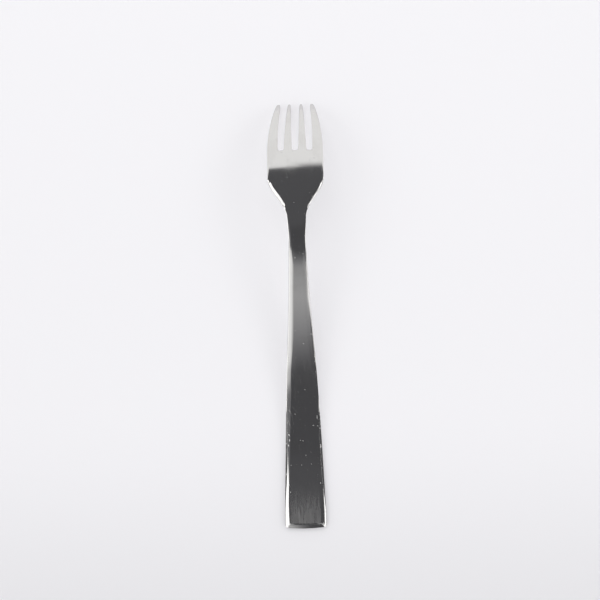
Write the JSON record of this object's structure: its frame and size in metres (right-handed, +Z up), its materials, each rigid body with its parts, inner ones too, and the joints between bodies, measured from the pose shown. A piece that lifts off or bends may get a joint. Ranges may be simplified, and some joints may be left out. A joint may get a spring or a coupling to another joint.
{
  "type": "dinner fork",
  "caption": "Four-tined dinner fork in one piece of satin stainless steel, lying on its front with its back up, with a wedge-shaped handle.",
  "frame": {"origin": "on the table, under the middle of the fork as it lies on its front", "axes": "+X across the fork, +Y from the handle's end to the tine tips, +Z up through the fork's back"},
  "size_m": [0.0258, 0.2, 0.021],
  "materials": {
    "stainless_steel": "satin, lightly worn"
  },
  "bodies": {
    "root": {"fork": "stainless_steel"}
  },
  "joints": []
}
